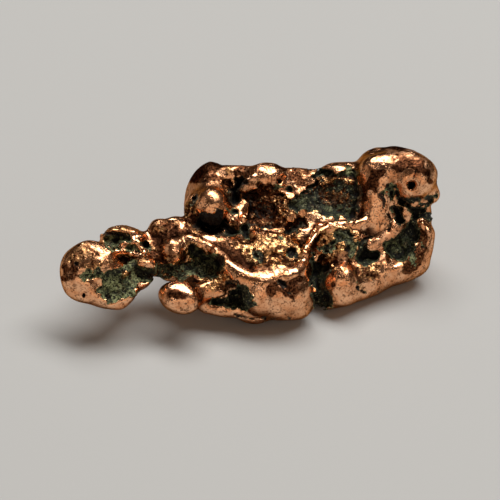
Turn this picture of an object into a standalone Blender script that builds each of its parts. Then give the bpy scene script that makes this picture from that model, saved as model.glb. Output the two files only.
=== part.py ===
"""A native copper nugget, about 48 mm long, in the stance in which it lies on a table.

The nugget is modelled on its broad face: U runs along its length, V up the face and W out of it.
Lumps are melted together, hollows are cut back out of them, and the whole is then leant back
onto the table. All the sizes are in millimetres until build() scales them to metres.
"""

import math

import bmesh
import bpy
from mathutils import Matrix, Vector

MM = 0.001
LEAN = math.radians(55)         # the broad face leans back this far from lying flat
FACE_ORIGIN = (-0.26, -0.025, 7.7)   # where the middle of the broad face lies over the table
VOXEL = 0.30                    # grain of the melted skin
SMOOTH_STRENGTH = 0.5
MELT_STEPS = 5                  # how far the lumps run into each other
HOLLOW_STEPS = 2                # how far the hollows run into each other
WEAR_STEPS = 2                  # how far the rims of the hollows are worn round
KEPT_SHARE = 0.11               # share of the melted skin's triangles that the solid keeps
TABLE_WIDTH = 80
TABLE_DEPTH = 10
COPPER_COLOUR = (0.48, 0.22, 0.12, 1.0)

# Each lump: name, centre (u, v, w), radii (u, v, w), turn in the face in degrees.
LUMPS = [
    ("paddle_head", (-19.6, -4.0, 7.0), (4.0, 4.2, 2.8), 0),
    ("paddle_belly", (-17.2, -5.6, 6.9), (3.9, 3.3, 2.3), 0),
    ("paddle_stem", (-14.0, -4.4, 5.5), (3.2, 2.2, 2.2), 35),
    ("paddle_back", (-15.7, -0.8, 2.2), (3.6, 2.8, 2.6), -5),
    ("neck_knuckle", (-11.1, 1.3, 1.5), (1.7, 1.6, 1.6), 0),
    ("neck_shoulder", (-9.2, 1.65, 0.5), (1.8, 1.8, 1.8), 0),
    ("neck_knob", (-9.5, -1.1, 3.2), (1.9, 1.6, 1.8), 0),
    ("neck_web", (-9.9, -3.3, 2.0), (2.8, 2.1, 1.9), 0),
    ("ball", (-8.6, -7.1, 6.7), (3.0, 2.35, 2.5), -18),
    ("ball_root", (-6.5, -6.0, 3.9), (3.0, 2.5, 2.5), 0),
    ("shoulder", (-4.6, 4.1, -5.4), (3.85, 6.0, 3.5), 0),
    ("shoulder_flank", (-6.9, 3.3, -1.7), (1.6, 2.6, 2.0), 0),
    ("shoulder_knob", (-4.75, 4.5, -0.1), (2.1, 2.1, 2.2), 0),
    ("crest_knob", (2.0, 7.7, -3.3), (2.7, 2.4, 2.5), 10),
    ("crest_plug", (11.4, 7.8, -4.3), (3.3, 2.35, 2.4), 0),
    ("core_left", (-3.0, 1.2, -3.6), (5.8, 6.0, 3.8), 0),
    ("core_middle", (4.0, 2.4, -4.6), (6.8, 6.0, 3.6), 0),
    ("core_right", (11.5, 3.0, -5.0), (5.8, 5.6, 4.0), 0),
    ("cap_knuckle", (20.5, 7.7, -1.5), (3.1, 3.15, 3.2), 0),
    ("cap_ear", (23.2, 5.7, -2.4), (0.85, 1.6, 1.2), 0),
    ("cap_core", (18.5, 5.5, -4.6), (4.6, 4.5, 3.8), 0),
    ("right_core", (17.0, 0.0, -5.2), (5.5, 4.5, 3.8), 0),
    ("right_back", (20.7, 3.0, -4.4), (2.4, 3.2, 2.3), 0),
    ("bulge", (3.5, -6.3, 3.7), (4.6, 4.0, 3.6), 0),
    ("bulge_heel", (5.7, -7.4, 2.8), (2.5, 2.65, 2.8), 0),
    ("bulge_foot", (0.6, -9.3, 2.8), (2.5, 1.6, 1.5), 0),
    ("middle_body", (-3.5, -4.5, 1.5), (4.5, 4.0, 3.6), 0),
    ("saddle", (1.5, -3.0, 0.8), (6.5, 4.3, 3.2), 0),
    ("saddle_left", (-5.0, -1.0, 1.5), (3.5, 2.3, 2.6), 0),
    ("right_face", (11.2, -1.5, -1.2), (4.4, 4.2, 2.9), 0),
    ("right_bulge", (11.1, -5.8, 0.2), (2.8, 3.0, 2.95), 0),
    ("right_toe", (9.8, -8.0, 0.1), (0.95, 0.95, 1.2), 0),
    ("front_foot", (-3.0, -5.0, -1.9), (3.2, 2.8, 2.8), 0),
    ("back_foot_left", (-5.0, -0.5, -8.0), (3.4, 3.0, 3.0), 0),
    ("back_foot_right", (15.5, 0.0, -8.0), (3.6, 3.3, 3.3), 0),
    ("back_belly", (5.0, 1.0, -6.6), (7.5, 4.0, 3.4), 0),
    ("back_knob", (2.0, 5.0, -7.0), (3.0, 2.6, 2.3), 20),
    ("back_cap", (17.6, 7.2, -6.6), (3.6, 2.8, 2.4), -15),
    ("back_bead", (9.5, 5.4, -8.0), (1.9, 1.7, 1.6), 0),
    ("back_shoulder", (-3.2, 4.0, -6.0), (2.6, 2.4, 2.2), 0),
    ("neck_back", (-12.0, -0.8, 0.2), (2.2, 1.9, 1.8), 0),
    ("under_belly", (2.5, -3.0, -3.4), (4.2, 2.6, 2.6), 15),
    ("under_bead", (4.6, -6.6, 0.4), (2.2, 1.9, 1.9), 0),
    ("paddle_spur", (-18.6, -2.6, 4.4), (1.9, 1.7, 1.7), 0),
    ("core_joint", (7.4, -0.8, -3.2), (3.8, 3.8, 3.2), 0),
    ("crack_floor", (8.2, -5.9, -1.0), (2.3, 2.5, 1.7), 0),
    ("front_right_foot", (11.6, -5.4, -1.1), (3.0, 2.95, 2.95), 0),
]

# Each rope: name, points (u, v, w, radius) that a run of metal follows.
ROPES = [
    ("neck", [(-14.0, -2.8, 2.5, 2.3), (-7.0, -0.5, 1.0, 2.3)]),
    ("crest_saddle", [(-3.2, 8.45, -3.6, 1.25), (0.0, 8.35, -3.8, 1.25)]),
    ("crest_right", [(4.0, 8.1, -4.0, 1.25), (7.8, 7.8, -4.5, 1.35), (12.8, 8.6, -4.2, 1.6)]),
    ("crest_prong", [(0.6, 7.3, -2.0, 0.8), (-1.2, 6.2, -1.0, 0.6)]),
    ("shoulder_slope", [(-4.65, 7.3, -5.4, 2.8), (-4.75, 4.3, -1.7, 2.6)]),
    ("cap_crown", [(15.9, 9.2, -3.4, 2.65), (17.6, 9.5, -3.4, 2.7), (19.6, 9.0, -3.4, 2.8)]),
    ("cap_roll", [(15.9, 8.4, -1.4, 2.7), (17.6, 8.9, -1.7, 2.7), (19.6, 8.75, -2.1, 2.85),
                  (20.9, 7.9, -2.4, 2.9)]),
    ("column", [(15.9, 7.3, -1.2, 2.35), (16.0, 3.5, -1.95, 2.25), (16.0, 1.4, -2.05, 1.9)]),
    ("tongue", [(18.7, 2.2, -1.5, 0.95), (15.8, -0.4, -0.7, 0.95)]),
    ("right_rim", [(22.3, 0.9, -3.2, 1.25), (22.1, -0.9, -3.3, 1.35), (21.2, -3.0, -3.2, 1.55),
                   (19.6, -4.1, -2.9, 1.6)]),
    ("keel", [(11.2, -5.9, 0.2, 2.95), (14.0, -4.85, -1.2, 2.95), (17.0, -3.5, -2.6, 2.95),
              (20.0, -2.4, -3.8, 3.0)]),
    ("lower_rim", [(-5.6, -8.1, 3.6, 1.35), (-1.0, -8.6, 3.6, 1.35)]),
    ("ridge", [(-7.6, 0.0, 3.2, 0.7), (-6.0, -0.6, 3.7, 0.7), (-4.4, -1.5, 4.3, 0.75),
               (-3.0, -2.8, 5.0, 0.9), (-1.5, -4.3, 5.6, 1.0), (0.5, -5.2, 5.9, 1.2),
               (3.0, -5.3, 6.0, 1.2), (5.5, -4.7, 5.8, 0.9), (6.6, -2.9, 4.6, 0.75),
               (7.0, -1.4, 3.5, 0.65), (7.6, -0.1, 2.7, 0.65), (8.6, 1.3, 1.7, 0.65),
               (10.2, 1.7, 0.9, 0.65), (12.4, 1.9, 0.2, 0.65), (14.2, 2.2, -0.2, 0.8)]),
]

# Each hollow, cut back out of the melted lumps: name, centre, radii, turn.
HOLLOWS = [
    ("cave", (-4.5, 2.1, 1.7), (2.0, 1.6, 3.8), 0),
    ("crevice", (-1.9, 6.0, -0.6), (0.7, 2.0, 2.6), 0),
    ("crevice_head", (-1.3, 7.4, -1.2), (0.9, 0.6, 1.8), 0),
    ("middle_hollow", (1.4, 3.7, 0.9), (2.9, 2.4, 2.6), 0),
    ("middle_step", (-0.6, 0.6, 2.6), (1.2, 0.9, 1.8), 0),
    ("dark_notch", (5.6, 1.6, 2.0), (1.2, 0.7, 2.0), 0),
    ("rib_hollow", (5.0, 6.3, -0.9), (1.4, 0.75, 1.8), 0),
    ("panel", (9.6, 5.1, -0.4), (4.4, 2.6, 2.1), 0),
    ("panel_cave", (9.2, 8.4, -2.0), (1.3, 0.45, 1.2), 0),
    ("pocket", (14.6, -2.1, 1.3), (1.45, 0.85, 2.0), 0),
    ("bulge_pit", (9.2, -7.3, 2.4), (1.1, 0.8, 2.0), 0),
    ("green_upper", (-6.2, -1.9, 4.8), (1.8, 1.1, 2.2), 0),
    ("green_middle", (-5.0, -3.2, 5.2), (1.6, 1.3, 2.0), 0),
    ("green_lower", (-6.0, -4.4, 5.4), (1.6, 0.8, 1.7), 0),
    ("dark_pocket", (-1.5, -7.2, 6.2), (1.5, 1.25, 2.5), 0),
    ("lower_pocket", (-4.4, -7.8, 5.4), (1.3, 0.55, 1.4), 0),
    ("paddle_face", (-16.3, -5.6, 9.9), (3.6, 2.3, 2.1), 15),
    ("paddle_face_left", (-19.2, -4.4, 10.1), (1.4, 0.8, 1.3), 0),
    ("paddle_face_right", (-13.0, -4.2, 8.0), (2.0, 1.4, 2.1), 25),
    ("paddle_back_hollow", (-16.6, 0.1, 4.8), (1.7, 0.6, 1.5), 0),
    ("paddle_back_slot", (-15.4, -1.0, 5.2), (1.5, 0.4, 1.2), 0),
    ("knuckle_hole", (20.2, 6.8, 1.8), (0.6, 0.7, 1.7), 0),
    ("neck_pit", (-12.8, -0.6, 4.9), (0.6, 0.6, 1.4), 0),
    ("back_hollow", (7.0, -1.0, -11.2), (3.4, 2.0, 2.4), 15),
    ("back_pit", (-1.0, 6.6, -8.2), (1.3, 1.0, 2.2), 0),
    ("back_groove", (13.0, 5.6, -9.4), (1.2, 2.4, 2.0), -20),
    ("paddle_underside", (-18.6, -6.2, 3.7), (2.2, 1.4, 1.6), 10),
]

# Each trench, cut the same way: name, points (u, v, w, radius).
TRENCHES = [
    ("crack", [(7.9, -2.1, 3.6, 0.8), (8.5, -4.0, 2.8, 0.8), (8.5, -6.0, 2.6, 0.8), (8.9, -8.0, 1.8, 1.0)]),
    ("furrow", [(8.0, -1.9, 3.0, 0.6), (9.7, -1.0, 2.2, 0.6), (11.3, -0.1, 1.9, 0.6), (12.5, 0.4, 1.4, 0.5)]),
    ("right_recess", [(21.6, 3.6, -0.9, 1.5), (20.4, 1.2, -0.9, 1.4), (18.9, -1.0, -0.4, 1.6),
                      (18.2, -2.0, 0.0, 1.3)]),
]


def clear_scene():
    for obj in list(bpy.data.objects):
        bpy.data.objects.remove(obj, do_unlink=True)


def add_ellipsoid(bm, centre, radii, turn=0.0, detail=3):
    place = (
        Matrix.Translation(centre)
        @ Matrix.Rotation(math.radians(turn), 4, "Z")
        @ Matrix.Diagonal((*radii, 1.0))
    )
    bmesh.ops.create_icosphere(bm, subdivisions=detail, radius=1.0, matrix=place)


def add_rope(bm, points):
    """Balls along a run of (u, v, w, radius) points, close enough together to melt into one."""
    for (*a, ra), (*b, rb) in zip(points, points[1:]):
        a, b = Vector(a), Vector(b)
        steps = max(1, math.ceil((b - a).length / (0.4 * min(ra, rb))))
        for i in range(steps + 1):
            t = i / steps
            r = ra + (rb - ra) * t
            add_ellipsoid(bm, a.lerp(b, t), (r, r, r), detail=2)


def mesh_object(name, lumps, ropes):
    """Overlapping lumps and ropes, not yet melted, leant back onto the table."""
    bm = bmesh.new()
    for _, centre, radii, turn in lumps:
        add_ellipsoid(bm, centre, radii, turn)
    for _, points in ropes:
        add_rope(bm, points)
    bmesh.ops.scale(bm, vec=(MM, MM, MM), verts=bm.verts)
    mesh = bpy.data.meshes.new(name)
    bm.to_mesh(mesh)
    bm.free()
    obj = bpy.data.objects.new(name, mesh)
    bpy.context.scene.collection.objects.link(obj)
    obj.rotation_euler = (LEAN, 0, 0)
    obj.location = [MM * place for place in FACE_ORIGIN]
    return obj


def remesh(obj):
    """Melts whatever overlaps into one closed skin."""
    modifier = obj.modifiers.new("melt", "REMESH")
    modifier.mode = "VOXEL"
    modifier.voxel_size = VOXEL * MM
    modifier.use_smooth_shade = True


def smooth(obj, steps):
    modifier = obj.modifiers.new("smooth", "SMOOTH")
    modifier.factor = SMOOTH_STRENGTH
    modifier.iterations = steps


def cut(obj, cutter):
    cutter.hide_render = True
    cutter.display_type = "WIRE"
    modifier = obj.modifiers.new("cut_" + cutter.name, "BOOLEAN")
    modifier.operation = "DIFFERENCE"
    modifier.object = cutter


def thin_out(obj, ratio):
    modifier = obj.modifiers.new("thin_out", "DECIMATE")
    modifier.ratio = ratio


def copper():
    """Tumbled native copper: a warm red-brown metal, satin where it is worn."""
    material = bpy.data.materials.new("native_copper")
    material.use_nodes = True
    shader = material.node_tree.nodes["Principled BSDF"]
    shader.inputs["Base Color"].default_value = COPPER_COLOUR
    shader.inputs["Metallic"].default_value = 1.0
    shader.inputs["Roughness"].default_value = 0.32
    material.diffuse_color = COPPER_COLOUR
    return material


def table_block():
    """What lies below the table top: it wears the feet of the nugget flat."""
    bm = bmesh.new()
    size = Matrix.Diagonal((TABLE_WIDTH * MM, TABLE_WIDTH * MM, TABLE_DEPTH * MM, 1.0))
    bmesh.ops.create_cube(bm, size=1.0, matrix=size)
    mesh = bpy.data.meshes.new("table")
    bm.to_mesh(mesh)
    bm.free()
    obj = bpy.data.objects.new("table", mesh)
    bpy.context.scene.collection.objects.link(obj)
    obj.location = (0, 0, -TABLE_DEPTH * MM / 2)
    return obj


def build():
    clear_scene()
    hollows = mesh_object("hollows", HOLLOWS, TRENCHES)
    remesh(hollows)
    smooth(hollows, HOLLOW_STEPS)
    nugget = mesh_object("copper_nugget", LUMPS, ROPES)
    nugget.data.materials.append(copper())
    remesh(nugget)
    smooth(nugget, MELT_STEPS)
    cut(nugget, hollows)
    remesh(nugget)
    smooth(nugget, WEAR_STEPS)
    thin_out(nugget, KEPT_SHARE)
    cut(nugget, table_block())


build()
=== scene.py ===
"""A tumbled native copper nugget: satin metal lumps round hollows that still hold dark green mineral.

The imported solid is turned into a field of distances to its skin, on a grid that lies along the
nugget's broad face: U runs along its length, V up the face and W out of it, in millimetres.
Recesses, pits and cracks are cut into that field and ridges are laid on it, the grain of each
surface is worked in, and the skin that comes out is the piece that is shown.
"""

import itertools
import math

import bpy
import numpy as np
import openvdb
from mathutils import Matrix, Vector


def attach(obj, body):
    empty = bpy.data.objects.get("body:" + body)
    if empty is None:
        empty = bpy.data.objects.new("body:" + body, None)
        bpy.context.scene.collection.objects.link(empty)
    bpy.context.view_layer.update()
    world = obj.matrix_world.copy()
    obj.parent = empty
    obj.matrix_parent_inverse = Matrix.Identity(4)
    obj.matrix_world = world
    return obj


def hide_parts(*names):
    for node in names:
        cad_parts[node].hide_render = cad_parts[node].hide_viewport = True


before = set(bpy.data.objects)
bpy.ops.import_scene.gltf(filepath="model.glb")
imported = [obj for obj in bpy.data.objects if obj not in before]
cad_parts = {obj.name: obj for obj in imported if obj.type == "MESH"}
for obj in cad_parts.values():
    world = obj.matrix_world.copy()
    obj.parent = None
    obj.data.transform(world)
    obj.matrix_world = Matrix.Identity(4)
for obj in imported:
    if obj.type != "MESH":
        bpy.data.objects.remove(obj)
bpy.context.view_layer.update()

MM = 0.001
NODE = "copper_nugget"

# The broad face: how far it leans back from lying flat, and where its middle is over the table.
LEAN = math.radians(55)
FACE_ORIGIN = np.array((-0.26, -0.025, 7.7))
FACE_TURN = np.array(Matrix.Rotation(LEAN, 3, "X"))

# The grid of distances.
CELL = 0.16
GRID_LOW = np.array((-24.8, -12.4, -12.6))
GRID_HIGH = np.array((25.2, 13.0, 10.8))
GRID_SHAPE = tuple(int(n) for n in np.ceil((GRID_HIGH - GRID_LOW) / CELL))
BAND = 1.6                      # distances are true this far from the skin
FAR_BELOW = -99.0               # stands for no skin, or no cut
FAR_OFF = 1e9                   # a squared distance past the grid
MOST_TRIANGLES = 195000

U = (GRID_LOW[0] + CELL * np.arange(GRID_SHAPE[0], dtype=np.float32))[:, None]
V = (GRID_LOW[1] + CELL * np.arange(GRID_SHAPE[1], dtype=np.float32))[None, :]
W = (GRID_LOW[2] + CELL * np.arange(GRID_SHAPE[2], dtype=np.float32))[None, None, :]

# The skin, in mm.
FACET_MELT = 0.26               # the solid's facets are blurred away over this distance
SKIN_INSET = 0.09               # keeps the finished skin inside the solid's box
RIDGE_MELT = 0.45               # how far a ridge melts into the skin
KNOB_MELT = 0.35
RECESS_MELT = 0.12
MELT_ROOM = 0.8                 # how far past a ridge or a knob the grid is worked
LEAST_DEPTH = 0.01              # a recess shallower than this is left out
WALL_SLOPE = 0.8                # keeps the walls of recesses from being sheer
WALL_TOP = 0.10                 # where a recess's wall starts inside its outline
WALL_FOOT = 0.28                # where it ends, and how much further in for each mm of depth
WALL_LEAN = 0.3
EDGE_OUT, EDGE_IN = 0.15, 0.85  # how far a painted edge reaches out and in, as shares of its softness

# Random waves: a height and a lump size in mm, and a seed. The heights of crumbs and clefts are
# shares of the crumbs' relief.
SKIN_WAVES = [(0.09, 3.1, 21), (0.045, 1.5, 22)]            # soft dents all over
OUTLINE_WAVES = [(0.20, 1.5, 11), (0.14, 0.7, 12), (0.08, 0.36, 13)]
BACK_WAVES = [(0.12, 2.2, 31)]                              # uneven mineral behind the face
CRUMB_WAVES = [(0.45, 0.42, 41)]
CLEFT_WAVES = [(0.50, 0.28, 42)]
CRUMB_SINK = 0.25               # lowers the crumbs, so that their tops are about level with the skin
CRUMB_RELIEF = 0.80             # how deep the crumbs are worked where the grain is 1
WAVE_SPREAD = 1.6               # brings a smoothed random field back to a spread of about 1
BLUR_REACH = 2.5                # a blur reads this many times its radius to each side

# What the finish reads from the shape, in mm.
PAINT_FADES, PAINT_ENDS = 0.7, 1.6      # how far below the face its paint fades, and is gone
CAVITY, NOOK = 0.40, 0.7                # how wide the small and the large hollows are
BACK_HOLLOW = 0.16, 0.30                # a hollow this deep, out of the face's reach, holds mineral
BACK_FINISH = {"mineral": 0.9, "brown": 1.0, "grain": 0.16}     # and is finished like this
FULL_GRAIN = 0.3                        # the grain that counts as fully rough

# Cracks and pits: how wide the floor is, as a share of the half width, and how much of the random
# wander their outlines take. Then their dirt, near black: the shares of the half width at which it
# starts and is full, how much of it there is, and its tint.
CRACK_FLOOR, CRACK_WANDER = 0.0, 0.3
CRACK_DIRT, CRACK_TINT = (1.3, 0.4, 0.8), 2.4
PIT_FLOOR, PIT_WANDER = 0.35, 0.5
PIT_DIRT, PIT_TINT = (1.1, 0.5, 1.0), 2.6

# Ridges that stand on the face: name, radius, how far the middle line is sunk, points (u, v).
RIDGES = [
    ("curling_ridge", 0.34, 0.02, [(12.6, 2.1), (11.0, 2.0), (10.0, 1.9), (8.6, 1.7), (8.0, 0.9),
                                   (7.4, -0.1), (7.0, -1.0), (6.8, -1.7), (6.3, -2.4)]),
    ("crest_left", 0.55, 0.36, [(-7.8, 0.2), (-6.5, -0.3), (-5.0, -1.0), (-4.2, -1.5), (-3.2, -2.4),
                                (-2.8, -3.1), (-2.0, -3.9)]),
    ("crest_middle", 1.15, 1.00, [(-2.0, -3.9), (-1.0, -4.6), (0.0, -5.1), (1.2, -5.4), (2.2, -5.4)]),
    ("crest_right", 0.80, 0.66, [(3.2, -4.9), (4.3, -4.6), (5.5, -4.2), (6.2, -3.6)]),
    ("paddle_back_edge", 0.28, 0.05, [(-18.4, 0.5), (-17.0, 1.0), (-15.6, 1.15), (-14.4, 0.9)]),
    ("paddle_back_y", 0.30, 0.05, [(-15.9, -0.35), (-14.0, -0.35), (-13.4, -1.0), (-12.9, -1.8)]),
    ("paddle_back_arm", 0.24, 0.05, [(-14.0, -0.3), (-13.5, 0.4)]),
    ("paddle_seam", 0.30, 0.10, [(-17.2, -1.6), (-15.0, -1.7), (-13.0, -2.0)]),
    ("pocket_curl", 0.30, 0.05, [(-3.2, -5.2), (-2.6, -4.8), (-1.6, -4.8), (-0.9, -5.3)]),
    ("finger", 0.35, 0.05, [(0.4, 7.9), (-0.5, 7.2), (-1.2, 6.3)]),
    ("inner_curl", 0.32, 0.05, [(-2.6, 3.0), (-2.0, 2.1), (-1.3, 1.4), (-0.8, 2.2), (-0.8, 2.8)]),
    ("shoulder_lip", 0.38, 0.15, [(-6.3, 4.0), (-5.4, 3.7), (-4.2, 3.7), (-3.2, 4.1)]),
    ("panel_rib", 0.24, 0.02, [(7.6, 6.3), (9.0, 6.9), (10.6, 7.6)]),
    ("panel_strip", 0.24, 0.02, [(11.9, 7.1), (12.8, 7.3), (13.6, 7.1)]),
    ("rim_tip", 0.45, 0.20, [(22.3, 1.0), (21.7, 2.0)]),
    ("tongue", 0.85, 0.72, [(18.0, 1.2), (17.4, 0.6), (16.6, 0.0), (15.8, -0.6), (15.5, -0.8)]),
    ("flow_line_left", 0.16, 0.04, [(11.3, -0.9), (11.2, -2.0), (11.0, -3.2)]),
    ("flow_line_right", 0.16, 0.04, [(11.9, -1.0), (11.8, -2.2), (11.5, -3.5)]),
]

# Knobs: name, (u, v), radii (u, v, w), how far the middle is sunk.
KNOBS = [
    ("panel_nub_left", (8.8, 7.7), (0.55, 0.35, 0.4), 0.1),
    ("panel_nub_middle", (11.4, 6.5), (0.40, 0.28, 0.35), 0.05),
    ("panel_nub_low", (7.9, 3.9), (0.30, 0.25, 0.3), 0.05),
    ("panel_nub_tip", (7.3, 6.1), (0.45, 0.30, 0.4), 0.05),
    ("bowl_facet", (2.7, -1.5), (0.70, 0.40, 0.4), 0.15),
    ("bright_nub", (-0.8, 2.8), (0.40, 0.40, 0.4), 0.0),
    ("ridge_blob", (8.7, 1.7), (0.60, 0.42, 0.5), 0.15),
    ("pale_grain", (3.9, 6.8), (0.30, 0.25, 0.3), 0.05),
    ("pocket_lobe", (-4.2, -6.5), (1.2, 0.6, 0.6), 0.40),
    ("neck_knob_swell", (-9.6, -1.9), (1.3, 1.2, 1.2), 0.60),
    ("crest_swell", (1.3, -6.2), (2.2, 3.2, 3.0), 2.62),
    ("shoulder_swell", (-4.75, 4.3), (2.1, 2.3, 2.2), 1.90),
    ("rim_spark", (21.6, 2.0), (0.30, 0.35, 0.35), 0.05),
    ("lower_right_swell", (11.5, -5.0), (1.9, 2.2, 2.0), 1.45),
]

# Round pits: (u, v), radius, depth.
PITS = [
    ((-20.3, -6.7), 0.36, 1.0), ((-21.2, -2.9), 0.22, 0.4), ((-13.0, -0.6), 0.48, 1.0),
    ((-7.0, 5.2), 0.50, 1.0), ((3.7, 7.4), 0.50, 1.1), ((20.1, 6.9), 0.62, 1.4), ((20.0, 7.4), 0.30, 0.8),
    ((17.2, 6.8), 0.28, 0.4), ((17.6, 5.9), 0.24, 0.35), ((18.9, 5.0), 0.48, 0.7),
    ((18.2, 3.8), 0.30, 0.5), ((18.8, 2.6), 0.42, 0.6), ((14.5, -0.6), 0.38, 0.7),
    ((13.2, -5.9), 0.38, 0.7), ((-7.2, -0.9), 0.42, 0.9), ((-3.8, -2.5), 0.45, 0.8),
    ((0.5, -1.5), 0.32, 0.5), ((5.1, -1.5), 0.36, 0.6), ((-12.3, -4.5), 0.65, 0.8),
    ((-17.5, -7.0), 0.25, 0.4), ((12.0, -1.2), 0.35, 0.5), ((9.6, -3.6), 0.30, 0.5),
]

# Cracks: half width, depth, points (u, v).
CRACKS = [
    (0.16, 0.5, [(20.2, 7.4), (20.5, 8.0), (20.7, 8.7)]),
    (0.20, 0.5, [(3.7, -5.0), (4.3, -5.6), (4.8, -6.4), (4.9, -6.6)]),
    (0.12, 0.3, [(3.5, -5.1), (4.1, -5.9), (4.7, -6.6)]),
    (0.16, 0.35, [(-2.3, -8.9), (-1.6, -9.4), (-0.7, -9.6), (0.2, -9.8), (1.1, -9.7), (1.9, -9.6),
                  (1.8, -10.2)]),
    (0.12, 0.25, [(2.6, -9.8), (3.8, -9.6), (5.0, -9.6)]),
    (0.18, 0.5, [(13.5, -6.2), (14.5, -6.6), (16.0, -6.5)]),
    (0.18, 0.5, [(14.3, 0.1), (15.2, 0.35), (16.2, 0.3)]),
    (0.20, 0.8, [(18.3, 6.0), (18.7, 5.2), (19.5, 4.6), (20.6, 4.2), (21.5, 4.3), (22.4, 4.7)]),
    (0.16, 0.5, [(-2.8, -5.3), (-2.2, -5.1), (-1.5, -5.2)]),
    (0.16, 0.4, [(17.3, 3.2), (17.7, 2.3), (17.4, 1.2)]),
    (0.14, 0.3, [(16.2, 5.6), (16.8, 5.0), (16.7, 4.1)]),
    (0.20, 0.6, [(-18.2, 0.85), (-16.8, 0.8), (-15.0, 0.65)]),
]

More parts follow.
